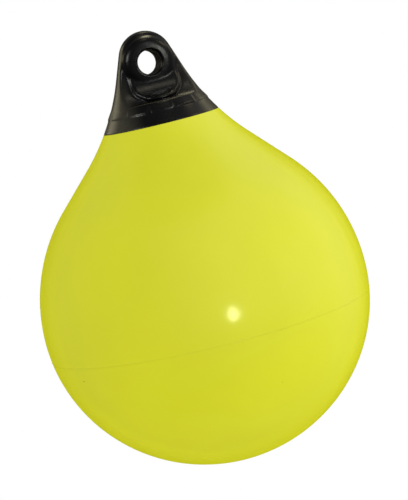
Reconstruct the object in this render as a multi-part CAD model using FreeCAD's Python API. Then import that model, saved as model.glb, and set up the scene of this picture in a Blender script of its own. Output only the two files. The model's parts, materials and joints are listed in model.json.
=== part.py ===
import FreeCAD, Part
import math
import os

# Inflatable net buoy, blown up. A hollow vinyl ball is drawn up into a neck, which a
# moulded rope hold closes: a skirt that carries on the neck's flare, a ring of shingle
# pads, and a solid lug with the rope eye. An air valve sits in the back of the lug.
#
# Millimetres. The origin is the centre of the rope eye. +Z runs up the buoy's axis away
# from the ball, the eye's hole lies along Y, and the front faces -Y.

# ---------------------------------------------------------------- ball and neck
ball_radius = 185.0            # at the equator
ball_bottom_depth = 183.0      # equator to the lowest point
eye_over_ball_height = 90.0    # rope eye over a full ball radius from the equator
skin_wall = 2.5                # over the ball
shoulder_radius = 195.5        # arc from the equator up to the cone
cone_half_angle = 43.7         # degrees
flare_radius = 240.0           # hollow curve from the cone to the lug's flank
neck_wall = 2.5                # tongue of skin that the rope hold laps over
neck_lap = 20.0                # length of that tongue along the flare

# ---------------------------------------------------------------- rope hold, skirt
skirt_edge_height = -67.0      # where skin and rope hold meet
skirt_thickness = 3.5          # at that edge
air_dome_rise = 10.0           # the air space's roof over the top of the neck
pad_count = 12
pad_first_angle = -6.4         # degrees from the front, towards +X
pad_width_angle = 25.0         # degrees
pad_low_height = -52.5
pad_high_height = -44.5
pad_low_step = 0.9             # how far a pad stands proud at its lower edge
pad_high_step = 0.2
pad_root = 1.0                 # how deep a pad reaches into the skirt

# ---------------------------------------------------------------- rope hold, lug
lug_top_height = 35.4
lug_top_radius = 30.0
flank_half_angle = 19.65       # degrees
rim_half_thickness = 11.5      # of the lug round its edge
rim_foot_height = 2.0          # where the lug's faces start to swell towards the skirt
ledge_height = -43.0           # shelf between the skirt and the lug's faces
ledge_half_depth = 34.0        # from the axis to the shelf's inner edge
rim_rounding = 2.5

# raised tongue on each face, ending in a chin that overhangs the shelf
tongue_top_height = 27.8
tongue_top_radius = 27.8
tongue_flank_angle = -1.0      # degrees, below zero where the flanks close towards the chin
tongue_half_thickness = 14.0   # at the eye
tongue_corner_radius = 14.0
chin_arc_radius = 58.0
tongue_rounding = 2.5
chin_low_height = -41.0
chin_half_depth = 43.0         # from the axis to the chin's edge
chin_lip_radius = 2.4          # rolled lip along the front chin
chin_lip_half_length = 17.5
chin_lip_rise = 2.2            # its middle line over the chin's edge
chin_lip_end_rise = 4.0        # the same at its ends
chin_lip_sink = 1.2            # its middle line under the tongue's face
chin_groove_radius = 2.2       # hollow above the lip
chin_groove_half_length = 15.5
chin_groove_rise = 6.2         # over the chin's edge

# rope eye
eye_radius = 13.5
eye_length = 41.0              # crest to crest
eye_mouth_radius = 14.8        # where the throat's rounding ends
eye_mouth_rounding = 3.0       # length of that rounding along the hole
eye_bead_outer_radius = 16.7
eye_bead_rise = 0.8
eye_crest_radius = 18.0
eye_swell_width = 11.5         # from the crest out to the foot of the swelling
eye_swell_height = 9.5

# ---------------------------------------------------------------- valve
valve_lean = 46.0              # degrees, its axis over the horizontal
valve_flange_radius = 9.0
valve_flange_thickness = 2.0
valve_flange_gap = 0.2         # round the flange
valve_barrel_radius = 7.5
valve_barrel_length = 15.0
plug_head_radius = 8.0
plug_head_thickness = 2.6
plug_shank_radius = 5.0
plug_shank_length = 10.0
plug_gap = 0.15                # round the shank
plug_slot_width = 1.8
plug_slot_depth = 1.5
seal_radius = 7.6
seal_thickness = 1.2
seal_gap = 0.2                 # round the shank
plug_depth = 0.2               # head's face below the lug's surface

# ---------------------------------------------------------------- shared geometry
ORIGIN = FreeCAD.Vector(0, 0, 0)
X_AXIS = FreeCAD.Vector(1, 0, 0)
Y_AXIS = FreeCAD.Vector(0, 1, 0)
Z_AXIS = FreeCAD.Vector(0, 0, 1)

equator_height = -(ball_radius + eye_over_ball_height)
cone_angle = math.radians(cone_half_angle)
flank_angle = math.radians(flank_half_angle)
neck_depth = skirt_thickness + neck_wall
reach = 2 * ball_radius        # longer than any part, for cutting tools


def place(radius, height):
    """A point in the half plane of the profiles."""
    return FreeCAD.Vector(radius, 0, height)


def line(start, end):
    return Part.LineSegment(start, end).toShape()


def arc_about(centre, radius, start_angle, end_angle):
    """Arc in the profile plane, angles in radians from +X towards +Z."""
    def at(angle):
        return centre + FreeCAD.Vector(radius * math.cos(angle), 0, radius * math.sin(angle))
    return Part.Arc(at(start_angle), at((start_angle + end_angle) / 2), at(end_angle)).toShape()


def quarter_ellipse(start, corner, end):
    """Exact quarter of an ellipse that touches start-corner and corner-end."""
    curve = Part.BezierCurve()
    curve.setPoles([start, corner, end])
    curve.setWeight(2, math.sqrt(0.5))
    return curve.toShape()


def solid_of_revolution(edges, axis, angle=360):
    face = Part.Face(Part.Wire(edges))
    return face.revolve(ORIGIN, axis, angle)


def prism(edges, direction):
    return Part.Face(Part.Wire(edges)).extrude(direction)


def shoulder_stand():
    """Distance of the cone's surface from the ball's centre."""
    return ball_radius * math.cos(cone_angle) + shoulder_radius * (1 - math.cos(cone_angle))


def shoulder_arc_radius(equator_radius, stand):
    """Radius of the arc that leaves the equator upright and runs into a cone at this stand."""
    return (stand - equator_radius * math.cos(cone_angle)) / (1 - math.cos(cone_angle))


def shoulder_arc(equator_radius, stand):
    radius = shoulder_arc_radius(equator_radius, stand)
    centre = place(equator_radius - radius, equator_height)
    return arc_about(centre, radius, 0, cone_angle)


def cross(first, second):
    return first.x * second.z - first.z * second.x


lug_top_centre = place(0, lug_top_height - lug_top_radius)
flank_start = lug_top_centre + FreeCAD.Vector(
    lug_top_radius * math.cos(flank_angle), 0, lug_top_radius * math.sin(flank_angle))
flank_direction = FreeCAD.Vector(math.sin(flank_angle), 0, -math.cos(flank_angle))
cone_direction = FreeCAD.Vector(-math.sin(cone_angle), 0, math.cos(cone_angle))
cone_start = shoulder_arc(ball_radius, shoulder_stand()).Vertexes[-1].Point


def flare_start():
    """Where the flare leaves the cone, so that it also runs into the lug's flank."""
    to_corner = cross(flank_start - cone_start, flank_direction) / cross(cone_direction, flank_direction)
    tangent = flare_radius * math.tan((cone_angle - flank_angle) / 2)
    return cone_start + cone_direction * (to_corner - tangent)


flare_centre = flare_start() + FreeCAD.Vector(
    flare_radius * math.cos(cone_angle), 0, flare_radius * math.sin(cone_angle))


def flare_point(angle, depth=0):
    """Point on the flare, or at a depth under it. The angle is that of the surface's lean."""
    radius = flare_radius + depth
    return flare_centre - FreeCAD.Vector(radius * math.cos(angle), 0, radius * math.sin(angle))


def flare_arc(start_angle, end_angle, depth=0):
    middle = flare_point((start_angle + end_angle) / 2, depth)
    return Part.Arc(flare_point(start_angle, depth), middle, flare_point(end_angle, depth)).toShape()


def flare_angle_at(height):
    return math.asin((flare_centre.z - height) / flare_radius)


edge_angle = flare_angle_at(skirt_edge_height)
neck_angle = edge_angle - neck_lap / flare_radius


# ---------------------------------------------------------------- float skin
def skin_outside():
    bottom = place(0, equator_height - ball_bottom_depth)
    corner = place(ball_radius, equator_height - ball_bottom_depth)
    equator = place(ball_radius, equator_height)
    return [
        quarter_ellipse(bottom, corner, equator),
        shoulder_arc(ball_radius, shoulder_stand()),
        line(cone_start, flare_start()),
        flare_arc(cone_angle, edge_angle),
        line(flare_point(edge_angle), flare_point(edge_angle, skirt_thickness)),
        flare_arc(edge_angle, neck_angle, skirt_thickness),
        line(flare_point(neck_angle, skirt_thickness), flare_point(neck_angle, neck_depth)),
    ]


def skin_inside():
    radius = ball_radius - skin_wall
    depth = ball_bottom_depth - skin_wall
    shoulder = shoulder_arc(radius, shoulder_stand() - neck_depth)
    shoulder_end = shoulder.Vertexes[-1].Point
    bottom = place(0, equator_height - depth)
    corner = place(radius, equator_height - depth)
    equator = place(radius, equator_height)
    return [
        flare_arc(neck_angle, cone_angle, neck_depth),
        line(flare_point(cone_angle, neck_depth), shoulder_end),
        shoulder,
        quarter_ellipse(equator, corner, bottom),
    ]


def make_float_skin():
    closing = line(place(0, equator_height - ball_bottom_depth + skin_wall),
                   place(0, equator_height - ball_bottom_depth))
    return solid_of_revolution(skin_outside() + skin_inside() + [closing], Z_AXIS)


# ---------------------------------------------------------------- rope hold
def hold_blank():
    """Skirt and lug as one turned body, over the neck and its air space."""
    neck_top = flare_point(neck_angle, neck_depth)
    dome_top = place(0, neck_top.z + air_dome_rise)
    dome_radius = (neck_top.x ** 2 + air_dome_rise ** 2) / (2 * air_dome_rise)
    dome_centre = place(0, dome_top.z - dome_radius)
    dome_angle = math.atan2(neck_top.z - dome_centre.z, neck_top.x)
    top = place(0, lug_top_height)
    edges = [
        line(flare_point(edge_angle, skirt_thickness), flare_point(edge_angle)),
        flare_arc(edge_angle, flank_angle),
        line(flare_point(flank_angle), flank_start),
        arc_about(lug_top_centre, lug_top_radius, flank_angle, math.pi / 2),
        line(top, dome_top),
        arc_about(dome_centre, dome_radius, math.pi / 2, dome_angle),
        line(neck_top, flare_point(neck_angle, skirt_thickness)),
        flare_arc(neck_angle, edge_angle, skirt_thickness),
    ]
    return solid_of_revolution(edges, Z_AXIS)


def face_circle(half_thickness, half_depth, low_height):
    """Circle of a lug face in the side view: upright at its foot, half_depth at low_height."""
    out = half_depth - half_thickness
    down = rim_foot_height - low_height
    radius = (out ** 2 + down ** 2) / (2 * out)
    return place(half_thickness + radius, rim_foot_height), radius


def face_arc(half_thickness, half_depth, low_height):
    centre, radius = face_circle(half_thickness, half_depth, low_height)
    sweep = math.asin((rim_foot_height - low_height) / radius)
    return arc_about(centre, radius, math.pi, math.pi + sweep)


def mirrored(edges):
    """The edges and their mirror image across the YZ plane of the profile."""
    return edges + [edge.mirror(ORIGIN, X_AXIS) for edge in edges]


def side_form(half_thickness, arc, low_corners):
    """Long bar along X with a side view: a straight rim, the swelling arc, then corners."""
    rim_top = place(half_thickness, lug_top_height + rim_half_thickness)
    middle_top = place(0, rim_top.z)
    corners = [arc.Vertexes[-1].Point] + low_corners
    right = [line(middle_top, rim_top), line(rim_top, arc.Vertexes[0].Point), arc]
    right += [line(start, end) for start, end in zip(corners, corners[1:])]
    bar = prism(mirrored(right), Y_AXIS * reach)
    bar.translate(Y_AXIS * (-reach / 2))
    return bar.rotate(ORIGIN, Z_AXIS, 90)


def is_level(edge, height):
    box = edge.BoundBox
    return box.ZLength < 0.01 and abs(box.ZMin - height) < 0.01


def lug_side_form():
    arc = face_arc(rim_half_thickness, ledge_half_depth, ledge_height)
    return side_form(rim_half_thickness, arc, [
        place(ball_radius, ledge_height),
        place(ball_radius, equator_height),
        place(0, equator_height),
    ])


def tongue_side_form():
    arc = face_arc(tongue_half_thickness, chin_half_depth, chin_low_height)
    return side_form(tongue_half_thickness, arc, [
        place(0, chin_low_height),
    ])


def tongue_front_form():
    """Block along Y with the tongue's front view: round top, flanks and a curved chin."""
    angle = math.radians(tongue_flank_angle)
    top_centre = place(0, tongue_top_height - tongue_top_radius)
    flank_top = top_centre + FreeCAD.Vector(
        tongue_top_radius * math.cos(angle), 0, tongue_top_radius * math.sin(angle))
    chin_centre = place(0, chin_low_height + chin_arc_radius)
    # the flank meets the chin's circle: |flank_top + run * direction - chin_centre| = radius
    direction = FreeCAD.Vector(math.sin(angle), 0, -math.cos(angle))
    offset = flank_top - chin_centre
    along = offset.dot(direction)
    run = -along + math.sqrt(along ** 2 - offset.dot(offset) + chin_arc_radius ** 2)
    corner = flank_top + direction * run
    corner_angle = math.atan2(corner.z - chin_centre.z, corner.x)
    right = [
        arc_about(top_centre, tongue_top_radius, math.pi / 2, angle),
        line(flank_top, corner),
        arc_about(chin_centre, chin_arc_radius, corner_angle, -math.pi / 2),
    ]
    block = prism(mirrored(right), Y_AXIS * reach)
    block.translate(Y_AXIS * (-reach / 2))
    corners = [edge for edge in block.Edges if is_corner_edge(edge, corner)]
    return block.makeFillet(tongue_corner_radius, corners)


def is_corner_edge(edge, corner):
    """Whether the edge runs along Y through one of the tongue's two lower corners."""
    points = [vertex.Point for vertex in edge.Vertexes]
    near = [abs(abs(point.x) - corner.x) < 0.01 and abs(point.z - corner.z) < 0.01 for point in points]
    return len(points) == 2 and all(near)


def make_lug():
    lug = hold_blank().common(lug_side_form())
    rim = []
    for edge in lug.Edges:
        on_a_face = abs(edge.CenterOfMass.y) > rim_half_thickness - 0.01
        over_the_shelf = edge.BoundBox.ZMin > ledge_height - 0.01
        level = is_level(edge, ledge_height) or is_level(edge, rim_foot_height)
        if on_a_face and over_the_shelf and not level:
            rim.append(edge)
    return lug.makeFillet(rim_rounding, rim)


def make_tongue():
    tongue = tongue_front_form().common(tongue_side_form())
    rim = []
    for edge in tongue.Edges:
        across = edge.BoundBox.XLength < 0.01 and edge.BoundBox.ZLength < 0.01
        if not across and not is_level(edge, rim_foot_height):
            rim.append(edge)
    return tongue.makeFillet(tongue_rounding, rim)


def chin_point(across, rise=0, out=0):
    """Point on the front chin's edge, or over it on the tongue's face, or out from that face."""
    centre, radius = face_circle(tongue_half_thickness, chin_half_depth, chin_low_height)
    sag = chin_arc_radius - math.sqrt(chin_arc_radius ** 2 - across ** 2)
    lean = math.asin((centre.z - chin_low_height - sag - rise) / radius)
    stand = radius - out
    return FreeCAD.Vector(across, stand * math.cos(lean) - centre.x, centre.z - stand * math.sin(lean))


def bent_bar(start, middle, end, radius):
    """Round bar with ball ends along the arc through three points."""
    arc = Part.Arc(start, middle, end).toShape()
    ring = Part.Circle(start, arc.tangentAt(arc.FirstParameter), radius)
    sweep = math.degrees(arc.LastParameter - arc.FirstParameter)
    bar = Part.Face(Part.Wire(ring.toShape())).revolve(arc.Curve.Center, arc.Curve.Axis, sweep)
    return bar.fuse([Part.makeSphere(radius, start), Part.makeSphere(radius, end)])


def chin_lip():
    """Rolled lip along the front chin. Its ends sink into the tongue."""
    end_sink = chin_lip_sink + chin_lip_radius
    ends = [chin_point(side * chin_lip_half_length, chin_lip_end_rise, -end_sink) for side in (-1, 1)]
    middle = chin_point(0, chin_lip_rise, -chin_lip_sink)
    return bent_bar(ends[0], middle, ends[1], chin_lip_radius)


def chin_groove():
    """Tool for the hollow above the lip. Its ends run out of the tongue's face."""
    ends = [chin_point(side * chin_groove_half_length, chin_groove_rise, chin_groove_radius)
            for side in (-1, 1)]
    return bent_bar(ends[0], chin_point(0, chin_groove_rise), ends[1], chin_groove_radius)


def eye_ring():
    """Swelling round the rope eye, with a bead at each mouth, turned about Y."""
    half = eye_length / 2
    straight = half - eye_mouth_rounding
    groove = (eye_bead_outer_radius + eye_crest_radius) / 2
    bead_middle = (eye_mouth_radius + eye_bead_outer_radius) / 2
    foot_radius = eye_crest_radius + eye_swell_width
    foot_height = half - eye_swell_height
    throat_end = place(eye_radius, straight)
    mouth = place(eye_mouth_radius, half)
    bead_top = place(bead_middle, half + eye_bead_rise)
    bead_end = place(eye_bead_outer_radius, half)
    groove_low = place(groove, half - eye_bead_rise / 2)
    crest = place(eye_crest_radius, half)
    right = [
        line(place(eye_radius, 0), throat_end),
        quarter_ellipse(throat_end, place(eye_radius, half), mouth),
        Part.Arc(mouth, bead_top, bead_end).toShape(),
        Part.Arc(bead_end, groove_low, crest).toShape(),
        quarter_ellipse(crest, place(foot_radius, half), place(foot_radius, foot_height)),
        line(place(foot_radius, foot_height), place(foot_radius, 0)),
    ]
    other_side = [edge.mirror(ORIGIN, Z_AXIS) for edge in right]
    ring = solid_of_revolution(right + other_side, Z_AXIS)
    return ring.rotate(ORIGIN, X_AXIS, 90)


def make_pads():
    low = flare_angle_at(pad_low_height)
    high = flare_angle_at(pad_high_height)
    corners = [
        flare_point(low, pad_root),
        flare_point(low, -pad_low_step),
        flare_point(high, -pad_high_step),
        flare_point(high, pad_root),
    ]
    edges = [line(start, end) for start, end in zip(corners, corners[1:] + corners[:1])]
    pads = []
    for number in range(pad_count):
        middle = pad_first_angle + number * 360 / pad_count
        pad = solid_of_revolution(edges, Z_AXIS, pad_width_angle)
        # profiles lie towards +X, and the front is towards -Y
        pad.rotate(ORIGIN, Z_AXIS, middle - pad_width_angle / 2 - 90)
        pads.append(pad)
    return pads


# ---------------------------------------------------------------- valve
def valve_frame():
    """Placement of the valve: its own +Z out of the back of the lug, its origin on the surface."""
    centre, radius = face_circle(tongue_half_thickness, chin_half_depth, chin_low_height)
    lean = math.radians(valve_lean)
    surface = FreeCAD.Vector(0, centre.x - radius * math.cos(lean), centre.z - radius * math.sin(lean))
    turn = FreeCAD.Rotation(X_AXIS, valve_lean - 90)
    return FreeCAD.Placement(surface, turn)


def disc(radius, low, high):
    """Cylinder on the valve's axis between two heights over the lug's surface."""
    return Part.makeCylinder(radius, high - low, FreeCAD.Vector(0, 0, low))


head_top = -plug_depth
head_foot = head_top - plug_head_thickness
flange_top = head_foot - seal_thickness
flange_foot = flange_top - valve_flange_thickness
barrel_end = flange_top - valve_barrel_length


def valve_pocket():
    counterbore = disc(valve_flange_radius + valve_flange_gap, flange_foot, valve_barrel_length)
    hole = disc(valve_barrel_radius, barrel_end, flange_foot)
    pocket = counterbore.fuse(hole)
    pocket.Placement = valve_frame()
    return pocket


def make_valve_seat():
    flange = disc(valve_flange_radius, flange_foot, flange_top)
    barrel = disc(valve_barrel_radius, barrel_end, flange_foot)
    bore = disc(plug_shank_radius + plug_gap, barrel_end, flange_top)
    seat = flange.fuse(barrel).cut(bore).removeSplitter()
    seat.Placement = valve_frame()
    return seat


def make_valve_seal():
    seal = disc(seal_radius, flange_top, head_foot).cut(
        disc(plug_shank_radius + seal_gap, flange_top, head_foot))
    seal.Placement = valve_frame()
    return seal


def make_valve_plug():
    head = disc(plug_head_radius, head_foot, head_top)
    shank = disc(plug_shank_radius, head_foot - plug_shank_length, head_foot)
    slot = Part.makeBox(
        2 * plug_head_radius, plug_slot_width, plug_slot_depth,
        FreeCAD.Vector(-plug_head_radius, -plug_slot_width / 2, head_top - plug_slot_depth))
    plug = head.fuse(shank).cut(slot).removeSplitter()
    plug.Placement = valve_frame()
    return plug


def make_rope_hold():
    eye_seat = Part.makeCylinder(eye_crest_radius, reach, FreeCAD.Vector(0, -reach / 2, 0), Y_AXIS)
    body = make_lug().fuse(make_tongue()).cut(eye_seat)
    body = body.fuse([eye_ring(), chin_lip()]).cut(chin_groove()).cut(valve_pocket())
    return body.fuse(make_pads()).removeSplitter()


def save(node, shape):
    solids = shape.Solids
    print(node, "solids", len(solids), "valid", shape.isValid(),
          "volume cm3 %.2f" % (shape.Volume / 1000), "box", shape.BoundBox)
    shape.exportStep("parts/%s.step" % node)


os.makedirs("parts", exist_ok=True)
save("float_skin", make_float_skin())
save("rope_hold", make_rope_hold())
save("valve_seat", make_valve_seat())
save("valve_seal", make_valve_seal())
save("valve_plug", make_valve_plug())
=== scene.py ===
import bmesh
import bpy
import json
import math
from mathutils import Matrix, Vector


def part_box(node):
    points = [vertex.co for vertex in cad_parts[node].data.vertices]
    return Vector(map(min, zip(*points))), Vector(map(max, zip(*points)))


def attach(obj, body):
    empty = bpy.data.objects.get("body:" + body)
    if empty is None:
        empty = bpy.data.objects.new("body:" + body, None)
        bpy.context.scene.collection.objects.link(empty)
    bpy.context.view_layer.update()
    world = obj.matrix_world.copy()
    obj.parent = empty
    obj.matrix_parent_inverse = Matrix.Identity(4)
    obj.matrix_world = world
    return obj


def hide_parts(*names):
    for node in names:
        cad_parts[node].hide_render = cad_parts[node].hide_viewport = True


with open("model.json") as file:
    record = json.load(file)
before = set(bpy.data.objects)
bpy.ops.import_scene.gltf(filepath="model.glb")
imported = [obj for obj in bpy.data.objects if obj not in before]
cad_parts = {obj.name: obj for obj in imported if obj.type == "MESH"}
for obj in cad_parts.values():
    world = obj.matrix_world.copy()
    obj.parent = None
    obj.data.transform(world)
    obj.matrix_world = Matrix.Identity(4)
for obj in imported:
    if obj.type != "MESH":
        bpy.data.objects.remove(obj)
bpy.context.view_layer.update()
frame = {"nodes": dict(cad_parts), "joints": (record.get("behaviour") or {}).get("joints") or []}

bl_info = {
    "name": "Inflatable net buoy",
    "version": (1, 0, 0),
    "blender": (4, 5, 0),
    "location": "3D View > Sidebar > Buoy",
    "description": "Dresses the packed net buoy: blown ball, rope hold, air valve and stage",
    "category": "Object",
}

MM = 0.001
SKIN_LOW, SKIN_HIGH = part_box("float_skin")
HOLD_LOW, HOLD_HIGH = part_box("rope_hold")
BALL_RADIUS = (SKIN_HIGH.x - SKIN_LOW.x) / 2
VALVE = next(joint for joint in frame["joints"] if joint["name"] == "plug_turn")

# the skin's section over the equator, as the part has it
CONE_HALF_ANGLE = 43.7
SHOULDER_RADIUS = 195.5 * MM
FLARE_RADIUS = 240 * MM
NECK_LAP = 20 * MM
SKIRT_THICKNESS = 3.5 * MM
NECK_EDGE_LEAN = math.radians(33.857)
NECK_EDGE = Vector((HOLD_HIGH.x, HOLD_LOW.z + SKIRT_THICKNESS * math.sin(NECK_EDGE_LEAN)))

# the plug, measured from the lug's surface along the valve's axis
PLUG_HEAD_RADIUS = 8 * MM
PLUG_HEAD_TOP = -0.2 * MM
PLUG_HEAD_THICKNESS = 2.6 * MM
PLUG_SHANK_RADIUS = 5 * MM
PLUG_SHANK_LENGTH = 10 * MM
PLUG_SLOT_WIDTH = 1.8 * MM
PLUG_SLOT_DEPTH = 1.5 * MM
PLUG_EDGE_ROUNDING = 0.5 * MM
PLUG_SEGMENTS = 96
THREAD_PITCH = 2.5 * MM
THREAD_DEPTH = 0.9 * MM
THREAD_RUNOUT = 0.3      # plain end of the shank under the thread, in pitches
THREAD_SHORT_OF = 0.8    # turns that the thread is shorter than the shank

# steps along the skin's section
LOWER_STEPS = 90
SHOULDER_STEPS = 44
CONE_STEPS = 8
FLARE_STEPS = 12
LAP_STEPS = 6
INNER_SHOULDER_STEPS = 20
INNER_LOWER_STEPS = 36

# edges with a larger angle than this stay sharp, in degrees
BALL_SHARP_ANGLE = 40
PLUG_SHARP_ANGLE = 35


# ---------------------------------------------------------------- settings
class BallSettings(bpy.types.PropertyGroup):
    radius: bpy.props.FloatProperty(
        name="Ball radius", description="At the equator", default=BALL_RADIUS, unit="LENGTH")
    equator_height: bpy.props.FloatProperty(
        name="Equator", description="Height of the equator under the rope eye",
        default=-275 * MM, unit="LENGTH")
    wall: bpy.props.FloatProperty(
        name="Wall", description="Thickness of the skin", default=2.5 * MM, unit="LENGTH")
    segments: bpy.props.IntProperty(
        name="Segments", description="Steps round the ball", default=224, min=24)
    undulation: bpy.props.FloatProperty(
        name="Undulation", description="Depth of the skin's shallow waves",
        default=0.35 * MM, unit="LENGTH")
    parting_drop: bpy.props.FloatProperty(
        name="Mould line drop", description="How far the mould's line runs under the equator",
        default=25 * MM, unit="LENGTH")
    parting_width: bpy.props.FloatProperty(
        name="Mould line width", description="Width of the fine ridge",
        default=1.5 * MM, unit="LENGTH")
    colour: bpy.props.FloatVectorProperty(
        name="Vinyl colour", description="Colour of the blown vinyl", subtype="COLOR",
        default=(0.68, 0.69, 0.018), min=0, max=1)


class HoldSettings(bpy.types.PropertyGroup):
    grain: bpy.props.FloatProperty(
        name="Surface step", description="Size of the mesh cells of the moulded body",
        default=0.78 * MM, unit="LENGTH")
    smoothing: bpy.props.IntProperty(
        name="Smoothing", description="How often the moulded body's edges are eased",
        default=8, min=0)
    eye_smoothing: bpy.props.IntProperty(
        name="Eye smoothing",
        description="How often the swelling round the rope eye is eased as well",
        default=50, min=0)
    triangles: bpy.props.IntProperty(
        name="Triangles", description="Most triangles in the moulded body", default=180000)
    colour: bpy.props.FloatVectorProperty(
        name="Hold colour", description="Colour of the moulded rope hold", subtype="COLOR",
        default=(0.0008, 0.0009, 0.0012), min=0, max=1)


class ValveSettings(bpy.types.PropertyGroup):
    nylon_colour: bpy.props.FloatVectorProperty(
        name="Nylon colour", description="Colour of the seat and the plug", subtype="COLOR",
        default=(0.72, 0.70, 0.62), min=0, max=1)
    rubber_colour: bpy.props.FloatVectorProperty(
        name="Rubber colour", description="Colour of the seal", subtype="COLOR",
        default=(0.02, 0.02, 0.02), min=0, max=1)


class StageSettings(bpy.types.PropertyGroup):
    azimuth: bpy.props.FloatProperty(
        name="Camera azimuth", description="Where the camera stands round the buoy, in degrees",
        default=-11.0)
    elevation: bpy.props.FloatProperty(
        name="Camera elevation", description="How far it stands over the ball's centre, in degrees",
        default=7.7)
    distance: bpy.props.FloatProperty(
        name="Camera distance", description="From the ball's centre", default=2.42, unit="LENGTH")
    roll: bpy.props.FloatProperty(
        name="Camera roll", description="How far the buoy leans in the view, in degrees",
        default=13.75)
    lens: bpy.props.FloatProperty(
        name="Lens", description="Focal length in millimetres", default=155.0)
    aim_rise: bpy.props.FloatProperty(
        name="Aim", description="How far over the ball's centre the camera aims, in the view",
        default=57.4 * MM, unit="LENGTH")
    aim_side: bpy.props.FloatProperty(
        name="Side aim",
        description="How far right of the ball's centre the camera aims, in the view",
        default=-1.2 * MM, unit="LENGTH")
    floor_drop: bpy.props.FloatProperty(
        name="Floor drop", description="From the buoy's lowest point down to the floor",
        default=0.6, unit="LENGTH")


# ---------------------------------------------------------------- node helpers
def set_inputs(tree, node, inputs):
    """Sets a node's inputs, each to a value or to another node's output."""
    for name, value in inputs.items():
        socket = node.inputs[name]
        if isinstance(value, bpy.types.NodeSocket):
            tree.links.new(value, socket)
        else:
            socket.default_value = value


def add_node(tree, kind, settings=None, inputs=None):
    """Adds a node, and sets its own values before its inputs."""
    node = tree.nodes.new(kind)
    for name, value in (settings or {}).items():
        setattr(node, name, value)
    set_inputs(tree, node, inputs or {})
    return node


def maths(tree, operation, *values):
    node = add_node(tree, "ShaderNodeMath", {"operation": operation}, dict(enumerate(values)))
    return node.outputs[0]


def product(tree, first, *others):
    for other in others:
        first = maths(tree, "MULTIPLY", first, other)
    return first


def carried(tree, value, low, high, to_low=0.0, to_high=1.0, kind="LINEAR"):
    """Carries a value from one range to another, and holds it at the ends."""
    node = add_node(tree, "ShaderNodeMapRange", {"interpolation_type": kind}, {
        "Value": value, "From Min": low, "From Max": high, "To Min": to_low, "To Max": to_high})
    return node.outputs[0]


def new_material(name):
    """A material with one shader, and the piece's own coordinates to place its pattern."""
    material = bpy.data.materials.new(name)
    material.use_nodes = True
    tree = material.node_tree
    tree.nodes.clear()
    shader = add_node(tree, "ShaderNodeBsdfPrincipled")
    add_node(tree, "ShaderNodeOutputMaterial", {}, {"Surface": shader.outputs[0]})
    coordinates = add_node(tree, "ShaderNodeTexCoord").outputs["Object"]
    return material, tree, shader, coordinates


def noise(tree, coordinates, scale, detail, roughness=0.5):
    node = add_node(tree, "ShaderNodeTexNoise", {}, {
        "Vector": coordinates, "Scale": scale, "Detail": detail, "Roughness": roughness})
    return node.outputs["Fac"]


def colour_ramp(tree, factor, stops):
    """Colours from (position, colour) stops."""
    node = add_node(tree, "ShaderNodeValToRGB", {}, {"Fac": factor})
    elements = node.color_ramp.elements
    while len(elements) < len(stops):
        elements.new(0.5)
    for element, (position, colour) in zip(elements, stops):
        element.position = position
        element.color = (*colour, 1)
    return node.outputs["Color"]


def bump(tree, height, strength, distance, normal=None):
    inputs = {"Height": height, "Strength": strength, "Distance": distance}
    if normal is not None:
        inputs["Normal"] = normal
    return add_node(tree, "ShaderNodeBump", {}, inputs).outputs["Normal"]


def scaled(colour, factor):
    return tuple(channel * factor for channel in colour)


# ---------------------------------------------------------------- materials
SPECK_RADIUS = 0.022     # share of a cell
SPECK_RARITY = 0.72      # share of the cells that have no speck
# painted sheen: olive laid into the hold's colour for the light that its sides and lower part catch
PAINTED_SHEEN_COLOUR = (0.040, 0.037, 0.025)
PAINTED_SHEEN_SIDE = (27 * MM, 54 * MM)      # from the axis, where the painted sheen starts and is full
PAINTED_SHEEN_HEIGHT = (15 * MM, -30 * MM)   # the same from the top down


def float_vinyl(colour):
    """Blown vinyl: even, glossy, a little cloudy, with rare specks and a fine orange-peel."""
    material, tree, shader, place = new_material("float_vinyl")
    clouds = noise(tree, place, scale=7.0, detail=4.0)
    tone = colour_ramp(tree, clouds, [(0.3, scaled(colour, 0.965)), (0.7, scaled(colour, 1.03))])
    cells = add_node(tree, "ShaderNodeTexVoronoi", {}, {"Vector": place, "Scale": 26.0})
    near = maths(tree, "LESS_THAN", cells.outputs["Distance"], SPECK_RADIUS)
    chance = add_node(tree, "ShaderNodeSeparateColor", {}, {"Color": cells.outputs["Color"]})
    chosen = maths(tree, "GREATER_THAN", chance.outputs[0], SPECK_RARITY)
    speck = maths(tree, "MULTIPLY", near, chosen)
    mixed = add_node(tree, "ShaderNodeMix", {"data_type": "RGBA"}, {
        "Factor": speck, "A": tone, "B": (*scaled(colour, 0.35), 1)})
    patches = noise(tree, place, scale=22.0, detail=5.0)
    peel = noise(tree, place, scale=420.0, detail=2.0)
    stretched = add_node(tree, "ShaderNodeMapping", {}, {
        "Vector": place, "Scale": (9.0, 9.0, 2.2)})
    folds = noise(tree, stretched.outputs[0], scale=1.0, detail=3.0, roughness=0.55)
    dimples = noise(tree, place, scale=38.0, detail=2.0)
    relief = bump(tree, peel, strength=0.06, distance=0.4 * MM)
    relief = bump(tree, folds, strength=0.25, distance=12 * MM, normal=relief)
    relief = bump(tree, dimples, strength=0.12, distance=1.2 * MM, normal=relief)
    set_inputs(tree, shader, {
        "Base Color": mixed.outputs["Result"],
        "Roughness": carried(tree, patches, 0.0, 1.0, 0.11, 0.16),
        "Normal": relief,
        "IOR": 1.45,
        "Sheen Weight": 0.5,
        "Sheen Roughness": 0.3,
        "Sheen Tint": (*scaled(colour, 1.4), 1),
        "Subsurface Weight": 0.12,
        "Subsurface Radius": (1.0, 0.9, 0.2),
        "Subsurface Scale": 4 * MM})
    return material


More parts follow.
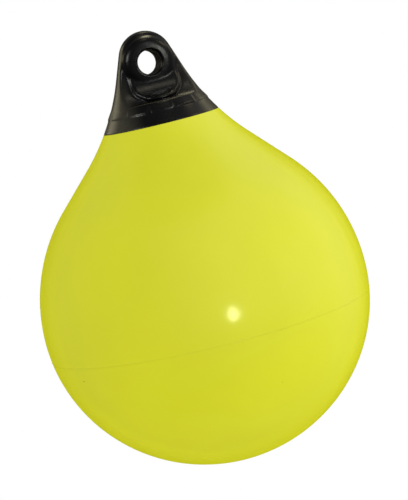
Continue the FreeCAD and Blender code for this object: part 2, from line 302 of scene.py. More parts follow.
def hold_vinyl(colour):
    """Solid moulded vinyl: black and satin, with painted olive sheen towards its sides and foot."""
    material, tree, shader, place = new_material("hold_vinyl")
    patches = noise(tree, place, scale=30.0, detail=5.0, roughness=0.6)
    # painted sheen: the base colour runs from black to olive towards the sides and the lower part,
    # in place of light on the flanks
    parts = add_node(tree, "ShaderNodeSeparateXYZ", {}, {"Vector": place})
    aside = maths(tree, "ABSOLUTE", parts.outputs["X"])
    sideways = carried(tree, aside, *PAINTED_SHEEN_SIDE, kind="SMOOTHSTEP")
    down = carried(tree, parts.outputs["Z"], *PAINTED_SHEEN_HEIGHT, kind="SMOOTHSTEP")
    uneven = maths(tree, "ADD", maths(tree, "MULTIPLY", patches, 0.6), 0.7)
    paler_share = product(tree, sideways, down, uneven)
    smears = noise(tree, place, scale=60.0, detail=6.0, roughness=0.6)
    grain = noise(tree, place, scale=900.0, detail=2.0)
    dimples = noise(tree, place, scale=70.0, detail=2.0)
    relief = bump(tree, grain, strength=0.015, distance=0.2 * MM)
    relief = bump(tree, dimples, strength=0.03, distance=0.6 * MM, normal=relief)
    set_inputs(tree, shader, {
        "Base Color": colour_ramp(tree, paler_share, [(0.0, colour), (1.0, PAINTED_SHEEN_COLOUR)]),
        "Roughness": carried(tree, smears, 0.3, 0.7, 0.24, 0.32),
        "Normal": relief,
        "Specular IOR Level": 0.08,
        "Sheen Weight": 0.08,
        "Sheen Roughness": 0.3,
        "Sheen Tint": (0.97, 0.88, 0.55, 1)})
    return material


def valve_nylon(colour):
    """Undyed moulded nylon: milky, with a slight gloss."""
    material, tree, shader, place = new_material("valve_nylon")
    clouds = noise(tree, place, scale=160.0, detail=4.0)
    patches = noise(tree, place, scale=300.0, detail=4.0)
    grain = noise(tree, place, scale=1500.0, detail=2.0)
    set_inputs(tree, shader, {
        "Base Color": colour_ramp(tree, clouds, [(0.3, scaled(colour, 0.9)), (0.7, colour)]),
        "Roughness": carried(tree, patches, 0.0, 1.0, 0.34, 0.5),
        "Normal": bump(tree, grain, strength=0.12, distance=0.1 * MM),
        "Subsurface Weight": 0.15,
        "Subsurface Scale": 2 * MM})
    return material


def seal_rubber(colour):
    """Plain black rubber with a dull bloom."""
    material, tree, shader, place = new_material("seal_rubber")
    paler_share = noise(tree, place, scale=240.0, detail=4.0)
    grain = noise(tree, place, scale=1200.0, detail=3.0)
    set_inputs(tree, shader, {
        "Base Color": colour_ramp(tree, paler_share, [(0.3, colour), (0.75, scaled(colour, 2.0))]),
        "Normal": bump(tree, grain, strength=0.2, distance=0.1 * MM),
        "Roughness": 0.62})
    return material


# ---------------------------------------------------------------- mesh helpers
JOIN_DISTANCE = 0.002 * MM


def link_new(name, mesh):
    piece = bpy.data.objects.new(name, mesh)
    bpy.context.scene.collection.objects.link(piece)
    return piece


def bake(piece):
    """Turns the piece with its modifiers into a plain mesh."""
    depsgraph = bpy.context.evaluated_depsgraph_get()
    mesh = bpy.data.meshes.new_from_object(piece.evaluated_get(depsgraph), depsgraph=depsgraph)
    mesh.name = piece.name
    plain = link_new(piece.name + "_plain", mesh)
    old = piece.data
    name = piece.name
    bpy.data.objects.remove(piece)
    if old.users == 0 and isinstance(old, bpy.types.Mesh):
        bpy.data.meshes.remove(old)
    plain.name = name
    return plain


def smooth(piece, angle=None):
    """Shades the piece smooth, but for edges with a larger angle in degrees if one is given."""
    for polygon in piece.data.polygons:
        polygon.use_smooth = True
    if angle is not None:
        piece.data.set_sharp_from_angle(angle=math.radians(angle))


def dress(piece, material):
    piece.data.materials.clear()
    piece.data.materials.append(material)
    for polygon in piece.data.polygons:
        polygon.material_index = 0


def face_outward(piece):
    cells = bmesh.new()
    cells.from_mesh(piece.data)
    bmesh.ops.recalc_face_normals(cells, faces=cells.faces)
    cells.to_mesh(piece.data)
    cells.free()


def merged_copy(node, name):
    """A copy of a CAD node's mesh with its loose triangles joined."""
    mesh = frame["nodes"][node].data.copy()
    cells = bmesh.new()
    cells.from_mesh(mesh)
    bmesh.ops.remove_doubles(cells, verts=cells.verts, dist=JOIN_DISTANCE)
    cells.to_mesh(mesh)
    cells.free()
    mesh.materials.clear()
    return link_new(name, mesh)


def set_input(modifier, name, value):
    """Sets a named input of the modifier's node tree by its socket's identifier."""
    for item in modifier.node_group.interface.items_tree:
        if item.item_type == "SOCKET" and item.in_out == "INPUT" and item.name == name:
            modifier[item.identifier] = value
            return
    raise RuntimeError("the node tree has no input named " + name)


def new_shape_tree(name, inputs):
    """A Geometry Nodes tree with named inputs: (name, kind, default)."""
    tree = bpy.data.node_groups.new(name, "GeometryNodeTree")
    tree.interface.new_socket("Geometry", in_out="INPUT", socket_type="NodeSocketGeometry")
    tree.interface.new_socket("Geometry", in_out="OUTPUT", socket_type="NodeSocketGeometry")
    for label, kind, default in inputs:
        socket = tree.interface.new_socket(label, in_out="INPUT", socket_type=kind)
        if default is not None:
            socket.default_value = default
    start = tree.nodes.new("NodeGroupInput")
    end = tree.nodes.new("NodeGroupOutput")
    return tree, start, end


def finish_tree(tree, start, end, geometry):
    """Ends a tree in Realize Instances and Set Material."""
    real = add_node(tree, "GeometryNodeRealizeInstances", {}, {"Geometry": geometry})
    dressed = add_node(tree, "GeometryNodeSetMaterial", {}, {
        "Geometry": real.outputs[0], "Material": start.outputs["Material"]})
    set_inputs(tree, end, {0: dressed.outputs[0]})


def grow(name, mesh, tree, inputs):
    """A plain mesh piece that a Geometry Nodes tree makes from a mesh and its inputs."""
    piece = link_new(name, mesh)
    modifier = piece.modifiers.new(tree.name, "NODES")
    modifier.node_group = tree
    for label, value in inputs.items():
        set_input(modifier, label, value)
    piece = bake(piece)
    face_outward(piece)
    return piece


# ---------------------------------------------------------------- ball
def toward(angle):
    """Unit vector in the section plane. Angle in radians from +X."""
    return Vector((math.cos(angle), math.sin(angle)))


def along(start, end, steps):
    """Even points of a straight line, without the first."""
    return [start.lerp(end, step / steps) for step in range(1, steps + 1)]


def arc(centre, radius, start, end, steps):
    """Points of an arc in the section plane, without the first. Angles in radians, +X to +Z."""
    angles = [start + (end - start) * step / steps for step in range(1, steps + 1)]
    return [centre + toward(angle) * radius for angle in angles]


def ball_section(radius, depth, equator, start, end, steps):
    """Points of the ball's lower half, an ellipse. Angles run from its lowest point up."""
    points = []
    for step in range(steps + 1):
        angle = start + (end - start) * step / steps
        points.append(Vector((radius * math.sin(angle), equator - depth * math.cos(angle))))
    return points


def skin_profile(ball):
    """The skin's section as radius and height: up outside, over the neck's edge, down inside."""
    cone = math.radians(CONE_HALF_ANGLE)
    equator = ball.equator_height
    depth = equator - SKIN_LOW.z
    quarter = math.pi / 2
    edge_way = toward(NECK_EDGE_LEAN)
    flare_start = NECK_EDGE + (edge_way - toward(cone)) * FLARE_RADIUS
    flare_centre = NECK_EDGE + edge_way * FLARE_RADIUS
    neck_lean = NECK_EDGE_LEAN - NECK_LAP / FLARE_RADIUS

    points = ball_section(ball.radius, depth, equator, 0, quarter, LOWER_STEPS)
    shoulder_centre = Vector((ball.radius - SHOULDER_RADIUS, equator))
    points += arc(shoulder_centre, SHOULDER_RADIUS, 0, cone, SHOULDER_STEPS)
    points += along(points[-1], flare_start, CONE_STEPS)
    edge_angle = math.pi + NECK_EDGE_LEAN
    points += arc(flare_centre, FLARE_RADIUS, math.pi + cone, edge_angle, FLARE_STEPS)

    lapped = FLARE_RADIUS + SKIRT_THICKNESS
    points.append(flare_centre - edge_way * lapped)
    points += arc(flare_centre, lapped, edge_angle, math.pi + neck_lean, LAP_STEPS)

    inner_flare = lapped + ball.wall
    points.append(flare_centre - toward(neck_lean) * inner_flare)
    points += arc(flare_centre, inner_flare, math.pi + neck_lean, math.pi + cone, FLARE_STEPS)
    stand = ball.radius * math.cos(cone) + SHOULDER_RADIUS * (1 - math.cos(cone))
    inner_radius = ball.radius - ball.wall
    inner_stand = stand - SKIRT_THICKNESS - ball.wall
    inner_shoulder = (inner_stand - inner_radius * math.cos(cone)) / (1 - math.cos(cone))
    inner_centre = Vector((inner_radius - inner_shoulder, equator))
    points += arc(inner_centre, inner_shoulder, cone, 0, INNER_SHOULDER_STEPS)
    lower = ball_section(inner_radius, depth - ball.wall, equator, quarter, 0, INNER_LOWER_STEPS)
    return points + lower[1:]


def line_mesh(name, points):
    """A bare line of points in the XZ plane, for the turning tree."""
    mesh = bpy.data.meshes.new(name)
    edges = [(index, index + 1) for index in range(len(points) - 1)]
    mesh.from_pydata([(point.x, 0, point.y) for point in points], edges, [])
    return mesh


def lathe_tree():
    """Turns the input's line of points round the Z axis into a closed skin with shallow waves."""
    tree, start, end = new_shape_tree("turned_skin", [
        ("Segments", "NodeSocketInt", 192),
        ("Undulation", "NodeSocketFloat", 0.0),
        ("Seed", "NodeSocketFloat", 3.0),
        ("Material", "NodeSocketMaterial", None),
    ])
    profile = start.outputs["Geometry"]
    size = add_node(tree, "GeometryNodeAttributeDomainSize", {"component": "MESH"}, {
        "Geometry": profile})
    count = size.outputs["Point Count"]
    around = maths(tree, "ADD", start.outputs["Segments"], 1.0)
    grid = add_node(tree, "GeometryNodeMeshGrid", {}, {
        "Size X": 1.0, "Size Y": 1.0, "Vertices X": around, "Vertices Y": count})
    position = add_node(tree, "GeometryNodeInputPosition").outputs[0]
    parts = add_node(tree, "ShaderNodeSeparateXYZ", {}, {"Vector": position})
    angle = maths(tree, "MULTIPLY", maths(tree, "ADD", parts.outputs["X"], 0.5), math.tau)
    row = maths(tree, "MULTIPLY", maths(tree, "ADD", parts.outputs["Y"], 0.5),
                maths(tree, "SUBTRACT", count, 1.0))
    sample = add_node(
        tree, "GeometryNodeSampleIndex", {"data_type": "FLOAT_VECTOR", "domain": "POINT"},
        {"Geometry": profile, "Value": position, "Index": maths(tree, "ROUND", row)})
    point = add_node(tree, "ShaderNodeSeparateXYZ", {}, {"Vector": sample.outputs[0]})
    radius = point.outputs["X"]
    turned = add_node(tree, "ShaderNodeCombineXYZ", {}, {
        "X": maths(tree, "MULTIPLY", radius, maths(tree, "COSINE", angle)),
        "Y": maths(tree, "MULTIPLY", radius, maths(tree, "SINE", angle)),
        "Z": point.outputs["Z"]})
    moved = add_node(tree, "GeometryNodeSetPosition", {}, {
        "Geometry": grid.outputs["Mesh"], "Position": turned.outputs[0]})
    closed = add_node(tree, "GeometryNodeMergeByDistance", {}, {
        "Geometry": moved.outputs[0], "Distance": 0.01 * MM})
    waves = add_node(tree, "ShaderNodeTexNoise", {"noise_dimensions": "4D"}, {
        "W": start.outputs["Seed"], "Scale": 14.0, "Detail": 1.0})
    deepest = maths(tree, "MULTIPLY", start.outputs["Undulation"], -1.0)
    depth = maths(tree, "MULTIPLY", waves.outputs["Fac"], deepest)
    normal = add_node(tree, "GeometryNodeInputNormal").outputs[0]
    inward = add_node(tree, "ShaderNodeVectorMath", {"operation": "SCALE"}, {
        0: normal, "Scale": depth})
    waved = add_node(tree, "GeometryNodeSetPosition", {}, {
        "Geometry": closed.outputs[0], "Offset": inward.outputs[0]})
    finish_tree(tree, start, end, waved.outputs[0])
    return tree


class BUOY_OT_ball(bpy.types.Operator):
    """Turns the blown ball and its neck from the skin's section"""
    bl_idname = "buoy.ball"
    bl_label = "Blown ball"

    def execute(self, context):
        ball = context.scene.buoy_ball
        section = line_mesh("skin_line", skin_profile(ball))
        piece = grow("blown_ball", section, lathe_tree(), {
            "Segments": ball.segments,
            "Undulation": ball.undulation,
            "Material": MATERIALS["float_vinyl"](ball.colour)})
        smooth(piece, BALL_SHARP_ANGLE)
        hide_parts("float_skin")
        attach(piece, "float")
        return {"FINISHED"}


RIDGE_SINK = 0.3         # how deep the ridge's middle sinks into the skin, in its widths


def mould_line_tree():
    """Sweeps a fine ridge round the ball. It swells and fades along its way."""
    tree, start, end = new_shape_tree("mould_line", [
        ("Radius", "NodeSocketFloat", 0.18),
        ("Height", "NodeSocketFloat", 0.0),
        ("Width", "NodeSocketFloat", 0.0009),
        ("Seed", "NodeSocketFloat", 5.0),
        ("Material", "NodeSocketMaterial", None),
    ])
    ring = add_node(tree, "GeometryNodeCurvePrimitiveCircle", {}, {
        "Resolution": 360, "Radius": start.outputs["Radius"]})
    lift = add_node(tree, "ShaderNodeCombineXYZ", {}, {"Z": start.outputs["Height"]})
    path = add_node(tree, "GeometryNodeSetPosition", {}, {
        "Geometry": ring.outputs["Curve"], "Offset": lift.outputs[0]})
    change = add_node(tree, "ShaderNodeTexNoise", {"noise_dimensions": "4D"}, {
        "W": start.outputs["Seed"], "Scale": 9.0, "Detail": 3.0})
    swell = carried(tree, change.outputs["Fac"], 0.3, 0.7, 0.75, 1.1)
    bead = add_node(tree, "GeometryNodeCurvePrimitiveCircle", {}, {
        "Resolution": 10, "Radius": maths(tree, "MULTIPLY", start.outputs["Width"], 0.5)})
    ridge = add_node(tree, "GeometryNodeCurveToMesh", {}, {
        "Curve": path.outputs[0], "Profile Curve": bead.outputs["Curve"], "Scale": swell})
    finish_tree(tree, start, end, ridge.outputs[0])
    return tree


class BUOY_OT_mould_line(bpy.types.Operator):
    """Lays the fine ridge that the mould leaves round the ball, under its equator"""
    bl_idname = "buoy.mould_line"
    bl_label = "Mould line"

    def execute(self, context):
        ball = context.scene.buoy_ball
        depth = ball.equator_height - SKIN_LOW.z
        share = math.sqrt(1 - (ball.parting_drop / depth) ** 2)
        sunk = ball.undulation / 2 + ball.parting_width * RIDGE_SINK
        piece = grow("mould_line", bpy.data.meshes.new("mould_line"), mould_line_tree(), {
            "Radius": ball.radius * share - sunk,
            "Height": ball.equator_height - ball.parting_drop,
            "Width": ball.parting_width,
            "Material": MATERIALS["float_vinyl"](ball.colour)})
        smooth(piece)
        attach(piece, "float")
        return {"FINISHED"}


# ---------------------------------------------------------------- rope hold
EASE_FACTOR = 0.5
POLISH_TIMES = 3
# heights, or distances from the axis or the valve, at which the easing starts and is full
EYE_EASED = (-32 * MM, -14 * MM)
TONGUE_EASED = (-44 * MM, -38 * MM)
TONGUE_SIDE_EASED = (15 * MM, 22 * MM)
VALVE_SPARED = (11 * MM, 16 * MM)


def share_between(value, start, full):
    """How far a value has come from one bound to the other, from 0 to 1."""
    return min(max((value - start) / (full - start), 0.0), 1.0)


def add_easing(piece, name, times):
    ease = piece.modifiers.new(name, "SMOOTH")
    ease.factor = EASE_FACTOR
    ease.iterations = times
    return ease


def round_off_eye(piece, times):
    """Eases the swelling round the rope eye and the tongues' sides, but not the valve's hole."""
    group = piece.vertex_groups.new(name="eye")
    valve = Vector(VALVE["pos_m"])
    for vertex in piece.data.vertices:
        place = vertex.co
        eye = share_between(place.z, *EYE_EASED)
        away = share_between((place - valve).length, *VALVE_SPARED)
        side = share_between(abs(place.x), *TONGUE_SIDE_EASED)
        tongue = share_between(place.z, *TONGUE_EASED) * side
        share = max(eye, tongue) * away
        if share > 0:
            group.add([vertex.index], share, "REPLACE")
    add_easing(piece, "roll", times).vertex_group = group.name


class BUOY_OT_rope_hold(bpy.types.Operator):
    """Eases the edges of the moulded rope hold as a soft moulding has them"""
    bl_idname = "buoy.rope_hold"
    bl_label = "Rope hold"

    def execute(self, context):
        hold = context.scene.buoy_hold
        piece = merged_copy("rope_hold", "moulded_hold")
        remesh = piece.modifiers.new("cells", "REMESH")
        remesh.mode = "VOXEL"
        remesh.voxel_size = hold.grain
        add_easing(piece, "ease", hold.smoothing)
        piece = bake(piece)
        round_off_eye(piece, hold.eye_smoothing)
        piece = bake(piece)
        thin = piece.modifiers.new("thin", "DECIMATE")
        thin.ratio = min(1.0, hold.triangles / (2 * len(piece.data.polygons)))
        add_easing(piece, "polish", POLISH_TIMES)
        piece = bake(piece)
        smooth(piece)
        dress(piece, MATERIALS["hold_vinyl"](hold.colour))
        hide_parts("rope_hold")
        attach(piece, "float")
        return {"FINISHED"}


# ---------------------------------------------------------------- valve
def valve_place():
    """Matrix that stands a piece on the valve's axis, with +Z out of the lug."""
    axis = Vector(VALVE["axis"])
    turn = Vector((0, 0, 1)).rotation_difference(axis).to_matrix().to_4x4()
    return Matrix.Translation(VALVE["pos_m"]) @ turn


def plug_profile():
    """The plug's section without its slot: shank core, then the head with a rounded edge."""
    foot = PLUG_HEAD_TOP - PLUG_HEAD_THICKNESS
    end = foot - PLUG_SHANK_LENGTH
    core = PLUG_SHANK_RADIUS - THREAD_DEPTH * 0.6
    ease = PLUG_EDGE_ROUNDING
    rounding = Vector((PLUG_HEAD_RADIUS - ease, PLUG_HEAD_TOP - ease))
    points = [
        Vector((0, end)),
        Vector((core - ease, end)),
        Vector((core, end + ease)),
        Vector((core, foot)),
        Vector((PLUG_HEAD_RADIUS - ease / 2, foot)),
        Vector((PLUG_HEAD_RADIUS, foot + ease / 2)),
        Vector((PLUG_HEAD_RADIUS, rounding.y)),
    ]
    points += arc(rounding, ease, 0, math.pi / 2, 5)
    return points + [Vector((0, PLUG_HEAD_TOP))]


def thread_tree():
    """Winds the plug's thread as a ridge round its shank."""
    tree, start, end = new_shape_tree("thread", [
        ("Radius", "NodeSocketFloat", 0.005),
        ("Pitch", "NodeSocketFloat", 0.0025),
        ("Turns", "NodeSocketFloat", 3.0),
        ("Base", "NodeSocketFloat", 0.0),
        ("Depth", "NodeSocketFloat", 0.0009),
        ("Material", "NodeSocketMaterial", None),
    ])
    half_depth = maths(tree, "MULTIPLY", start.outputs["Depth"], 0.5)
    middle = maths(tree, "SUBTRACT", start.outputs["Radius"], half_depth)
    helix = add_node(tree, "GeometryNodeCurveSpiral", {}, {
        "Resolution": 48, "Rotations": start.outputs["Turns"],
        "Start Radius": middle, "End Radius": middle,
        "Height": maths(tree, "MULTIPLY", start.outputs["Turns"], start.outputs["Pitch"])})
    lift = add_node(tree, "ShaderNodeCombineXYZ", {}, {"Z": start.outputs["Base"]})
    moved = add_node(tree, "GeometryNodeSetPosition", {}, {
        "Geometry": helix.outputs[0], "Offset": lift.outputs[0]})
    ridge = add_node(tree, "GeometryNodeCurvePrimitiveCircle", {}, {
        "Resolution": 8, "Radius": half_depth})
    swept = add_node(tree, "GeometryNodeCurveToMesh", {}, {
        "Curve": moved.outputs[0], "Profile Curve": ridge.outputs["Curve"], "Fill Caps": True})
    finish_tree(tree, start, end, swept.outputs[0])
    return tree


def make_plug_body(material):
    """Turns the plug's body and cuts the slot across its head."""
    piece = grow("plug_body", line_mesh("plug_line", plug_profile()), lathe_tree(), {
        "Segments": PLUG_SEGMENTS,
        "Material": material})
    cutter_mesh = bpy.data.meshes.new("slot_cutter")
    cells = bmesh.new()
    size = Matrix.Diagonal((4 * PLUG_HEAD_RADIUS, PLUG_SLOT_WIDTH, 2 * PLUG_SLOT_DEPTH, 1))
    bmesh.ops.create_cube(cells, size=1, matrix=Matrix.Translation((0, 0, PLUG_HEAD_TOP)) @ size)
    cells.to_mesh(cutter_mesh)
    cells.free()
    cutter = link_new("slot_cutter", cutter_mesh)
    cut = piece.modifiers.new("slot", "BOOLEAN")
    cut.operation = "DIFFERENCE"
    cut.solver = "EXACT"
    cut.object = cutter
    piece = bake(piece)
    bpy.data.objects.remove(cutter)
    bpy.data.meshes.remove(cutter_mesh)
    return piece


def make_thread(material):
    """Winds the thread round the plug's shank."""
    end = PLUG_HEAD_TOP - PLUG_HEAD_THICKNESS - PLUG_SHANK_LENGTH
    return grow("plug_thread", bpy.data.meshes.new("plug_thread"), thread_tree(), {
        "Radius": PLUG_SHANK_RADIUS,
        "Pitch": THREAD_PITCH,
        "Turns": PLUG_SHANK_LENGTH / THREAD_PITCH - THREAD_SHORT_OF,
        "Base": end + THREAD_PITCH * THREAD_RUNOUT,
        "Depth": THREAD_DEPTH,
        "Material": material})


class BUOY_OT_valve(bpy.types.Operator):
    """Finishes the air valve: nylon seat, rubber seal, and the screw plug with its thread"""
    bl_idname = "buoy.valve"
    bl_label = "Air valve"

    def execute(self, context):
        valve = context.scene.buoy_valve
        nylon = MATERIALS["valve_nylon"](valve.nylon_colour)
        dress(frame["nodes"]["valve_seat"], nylon)
        dress(frame["nodes"]["valve_seal"], MATERIALS["seal_rubber"](valve.rubber_colour))
        body = make_plug_body(nylon)
        for piece in (body, make_thread(nylon)):
            piece.data.transform(valve_place())
            smooth(piece, PLUG_SHARP_ANGLE)
            dress(piece, nylon)
            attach(piece, "plug")
        body.name = "screw_plug"
        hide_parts("valve_plug")
        return {"FINISHED"}


# ---------------------------------------------------------------- stage
SENSOR_WIDTH = 36        # millimetres
NEAREST_SEEN = 50 * MM
FLOOR_RADIUS = 12
FLOOR_FADE = (0.7, 1.5)  # from the buoy's axis, where the floor starts to run out to white
WORLD_LEVEL = 0.93       # for light that isn't a reflection
EYE_AIM = Vector((0, 0, -10 * MM))


def direction_from(azimuth, elevation):
    """Unit vector towards a place round the buoy, from degrees. Azimuth 0 is its front."""
    turn = math.radians(azimuth)
    rise = math.radians(elevation)
    return Vector((
        math.sin(turn) * math.cos(rise), -math.cos(turn) * math.cos(rise), math.sin(rise)))


def ball_centre(context):
    return Vector((0, 0, context.scene.buoy_ball.equator_height))


def make_camera(context):
    """Stands the camera at its angle round the ball, rolled, and aims it near the centre."""
    stage = context.scene.buoy_stage
    back = direction_from(stage.azimuth, stage.elevation)
    right = Vector((0, 0, 1)).cross(back).normalized()
    up = back.cross(right)
    roll = math.radians(stage.roll)
    view_up = up * math.cos(roll) + right * math.sin(roll)
    centre = ball_centre(context)
    eye = centre + back * stage.distance
    view_side = view_up.cross(back)
    aim = centre + view_up * stage.aim_rise + view_side * stage.aim_side
    look_back = (eye - aim).normalized()
    view_right = view_up.cross(look_back).normalized()
    view_up = look_back.cross(view_right)
    data = bpy.data.cameras.new("camera")
    data.lens = stage.lens
    data.sensor_width = SENSOR_WIDTH
    data.clip_start = NEAREST_SEEN
    camera = bpy.data.objects.new("camera", data)
    context.scene.collection.objects.link(camera)
    turn = Matrix((view_right, view_up, look_back)).transposed().to_4x4()
    camera.matrix_world = Matrix.Translation(eye) @ turn
    context.scene.camera = camera


# name, azimuth and elevation in degrees, distance, size, watts, colour, spread in degrees,
# and the one piece that the lamp is seen in, or none for a lamp that lights them all
LAMPS = [
    ("key", 60, 2, 2.2, (1.6, 1.6), 12, (1.0, 1.0, 1.0), 180, ""),
    ("bounce", 0, -65, 2.0, (1.6, 1.6), 9, (1.0, 1.0, 1.0), 180, ""),
    ("front_spot", 5, -5, 2.6, (0.35, 0.46), 0.068, (1.0, 1.0, 0.6), 16, "blown_ball"),
    ("back_glow", 169, -5, 2.0, (6.0, 6.0), 26, (1.0, 0.97, 0.02), 180, "blown_ball"),
    ("left_flank", -144, 20, 1.3, (0.6, 0.6), 2.5, (1.0, 0.90, 0.60), 180, "moulded_hold"),
    ("right_flank", 111, 18, 1.3, (0.5, 0.5), 1.8, (1.0, 0.88, 0.52), 180, "moulded_hold"),
    ("right_corner", 70, 32, 1.3, (0.4, 0.4), 5, (1.0, 0.86, 0.60), 180, "moulded_hold"),
    ("tongue", 33, 71, 1.3, (0.24, 0.24), 2.2, (1.0, 0.95, 0.76), 180, "moulded_hold"),
    ("shelf", 145, 62, 1.3, (0.4, 0.4), 7, (1.0, 0.90, 0.60), 180, "moulded_hold"),
    ("left_glint", -60, 25, 1.3, (0.42, 0.42), 15, (1.0, 1.0, 0.94), 180, "moulded_hold"),
    ("right_glint", 24, 8, 1.3, (0.34, 0.28), 12, (1.0, 0.99, 0.88), 180, "moulded_hold"),
    ("top_glow", 16, 27, 1.3, (0.3, 0.3), 2.0, (0.94, 0.97, 1.0), 180, "moulded_hold"),
]
DIFFUSE_ONLY = ("key", "bounce")


def add_lamp(context, name, azimuth, elevation, distance, size, energy, colour, spread, piece):
    """A soft lamp that faces the ball's centre, or the rope eye if it is seen in the hold."""
    data = bpy.data.lights.new(name, "AREA")
    data.shape = "ELLIPSE"
    data.size, data.size_y = size
    data.energy = energy
    data.color = colour
    data.spread = math.radians(spread)
    lamp = bpy.data.objects.new(name, data)
    context.scene.collection.objects.link(lamp)
    back = direction_from(azimuth, elevation)
    aim = EYE_AIM if piece == "moulded_hold" else ball_centre(context)
    lamp.location = aim + back * distance
    lamp.rotation_mode = "QUATERNION"
    lamp.rotation_quaternion = back.to_track_quat("Z", "Y")
    lamp.visible_camera = False
    lamp.visible_glossy = name not in DIFFUSE_ONLY
    lamp.visible_diffuse = name in DIFFUSE_ONLY
    if piece:
        lit = bpy.data.collections.new(name + "_lights")
        lit.objects.link(bpy.data.objects[piece])
        if piece == "blown_ball":
            lit.objects.link(bpy.data.objects["mould_line"])
        lamp.light_linking.receiver_collection = lit


def ramp_toward(tree, direction, side, low, high, low_value, high_value):
    """Smooth ramp of the cosine between the ray and one side of the room."""
    facing = add_node(tree, "ShaderNodeVectorMath", {"operation": "DOT_PRODUCT"}, {
        0: direction, 1: Vector(side).normalized()})
    return carried(
        tree, facing.outputs["Value"], low, high, low_value, high_value, kind="SMOOTHSTEP")


def seen_directly(tree, path):
    """One for what the camera sees, straight or through something clear, and nought otherwise."""
    return maths(
        tree, "MAXIMUM", path.outputs["Is Camera Ray"], path.outputs["Is Transmission Ray"])


# the room that reflections see: a direction, the cosines between which it changes, and its
# level at each. It dims to the left, behind the buoy, low down and at the ceiling.
DIM_ROOM = [
    ((0.98, -0.19, 0.0), -0.8, 0.5, 0.3, 1.0),
    ((-0.19, -0.97, 0.13), -0.95, -0.25, 0.0, 1.0),
    ((0.0, 0.0, 1.0), -0.9, 0.1, 0.2, 1.0),
    ((0.0, 0.0, 1.0), 0.8, 0.97, 1.0, 0.5),
]


def studio_world():
    """Even white light. The view sees plain white, and reflections see a dim room."""
    world = bpy.data.worlds.new("studio")
    world.use_nodes = True
    tree = world.node_tree
    tree.nodes.clear()
    path = add_node(tree, "ShaderNodeLightPath")
    shown = seen_directly(tree, path)
    direction = add_node(tree, "ShaderNodeTexCoord").outputs["Generated"]
    room = [ramp_toward(tree, direction, *ramp) for ramp in DIM_ROOM]
    level = add_node(tree, "ShaderNodeMix", {"data_type": "FLOAT"}, {
        "Factor": path.outputs["Is Glossy Ray"], "A": WORLD_LEVEL, "B": product(tree, *room)})
    strength = add_node(tree, "ShaderNodeMix", {"data_type": "FLOAT"}, {
        "Factor": shown, "A": level.outputs[0], "B": 1.0})
    background = add_node(tree, "ShaderNodeBackground", {}, {
        "Color": (1, 1, 1, 1), "Strength": strength.outputs[0]})
    add_node(tree, "ShaderNodeOutputWorld", {}, {"Surface": background.outputs[0]})
    return world


def floor_material():
    """Pale matt floor that keeps the shadow near the buoy and runs out to white."""
    material, tree, shader, place = new_material("pale_floor")
    set_inputs(tree, shader, {"Base Color": (0.86, 0.86, 0.86, 1), "Roughness": 0.8})
    path = add_node(tree, "ShaderNodeLightPath")
    seen = seen_directly(tree, path)
    reach = add_node(tree, "ShaderNodeVectorMath", {"operation": "LENGTH"}, {0: place})
    far = carried(tree, reach.outputs["Value"], *FLOOR_FADE, kind="SMOOTHSTEP")
    white = add_node(tree, "ShaderNodeEmission", {}, {"Color": (1, 1, 1, 1), "Strength": 1.0})
    # the floor also glows white for diffuse rays, so it throws light up onto the buoy as a lamp
    # would
    lighting = maths(tree, "MULTIPLY", path.outputs["Is Diffuse Ray"], 0.9)
    share = maths(tree, "MAXIMUM", maths(tree, "MULTIPLY", far, seen), lighting)
    mixed = add_node(tree, "ShaderNodeMixShader", {}, {
        "Fac": share, 1: shader.outputs[0], 2: white.outputs[0]})
    set_inputs(tree, tree.nodes["Material Output"], {"Surface": mixed.outputs[0]})
    return material


def make_floor(context):
    mesh = bpy.data.meshes.new("floor")
    cells = bmesh.new()
    bmesh.ops.create_circle(cells, cap_ends=True, segments=64, radius=FLOOR_RADIUS)
    cells.to_mesh(mesh)
    cells.free()
    floor = link_new("floor", mesh)
    floor.location.z = SKIN_LOW.z - context.scene.buoy_stage.floor_drop
    floor.visible_glossy = False
    dress(floor, floor_material())


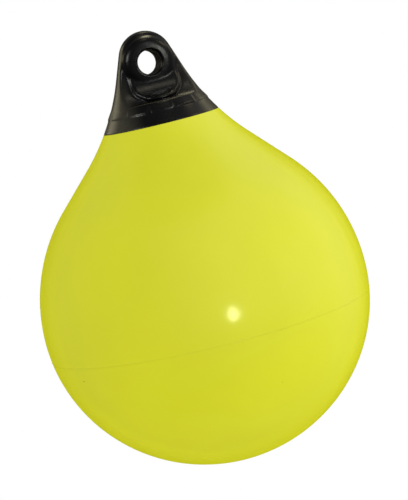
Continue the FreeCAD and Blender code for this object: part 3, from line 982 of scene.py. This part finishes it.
class BUOY_OT_stage(bpy.types.Operator):
    """Sets up the floor, the studio light and the camera"""
    bl_idname = "buoy.stage"
    bl_label = "Studio"

    def execute(self, context):
        make_floor(context)
        make_camera(context)
        context.scene.world = studio_world()
        context.scene.view_settings.view_transform = "Standard"
        for lamp in LAMPS:
            add_lamp(context, *lamp)
        return {"FINISHED"}


# ---------------------------------------------------------------- add-on
MATERIALS = {
    "float_vinyl": float_vinyl,
    "hold_vinyl": hold_vinyl,
    "valve_nylon": valve_nylon,
    "seal_rubber": seal_rubber,
}


class BUOY_PT_panel(bpy.types.Panel):
    """Lists the buoy's pieces and their sizes"""
    bl_idname = "BUOY_PT_panel"
    bl_label = "Net buoy"
    bl_space_type = "VIEW_3D"
    bl_region_type = "UI"
    bl_category = "Buoy"

    def draw(self, context):
        for title, group, operators in SECTIONS:
            box = self.layout.box()
            box.label(text=title)
            settings = getattr(context.scene, group)
            for name in settings.__annotations__:
                box.prop(settings, name)
            for operator in operators:
                box.operator(operator)


GROUPS = {
    "buoy_ball": BallSettings,
    "buoy_hold": HoldSettings,
    "buoy_valve": ValveSettings,
    "buoy_stage": StageSettings,
}
SECTIONS = [
    ("Ball", "buoy_ball", ["buoy.ball", "buoy.mould_line"]),
    ("Rope hold", "buoy_hold", ["buoy.rope_hold"]),
    ("Valve", "buoy_valve", ["buoy.valve"]),
    ("Stage", "buoy_stage", ["buoy.stage"]),
]
CLASSES = [
    *GROUPS.values(),
    BUOY_OT_ball,
    BUOY_OT_mould_line,
    BUOY_OT_rope_hold,
    BUOY_OT_valve,
    BUOY_OT_stage,
    BUOY_PT_panel,
]


def register():
    for item in CLASSES:
        bpy.utils.register_class(item)
    for name, group in GROUPS.items():
        setattr(bpy.types.Scene, name, bpy.props.PointerProperty(type=group))


def unregister():
    for name in GROUPS:
        delattr(bpy.types.Scene, name)
    for item in reversed(CLASSES):
        bpy.utils.unregister_class(item)


def main():
    register()
    bpy.ops.buoy.ball()
    bpy.ops.buoy.mould_line()
    bpy.ops.buoy.rope_hold()
    bpy.ops.buoy.valve()
    bpy.ops.buoy.stage()


if __name__ == "__main__":
    main()
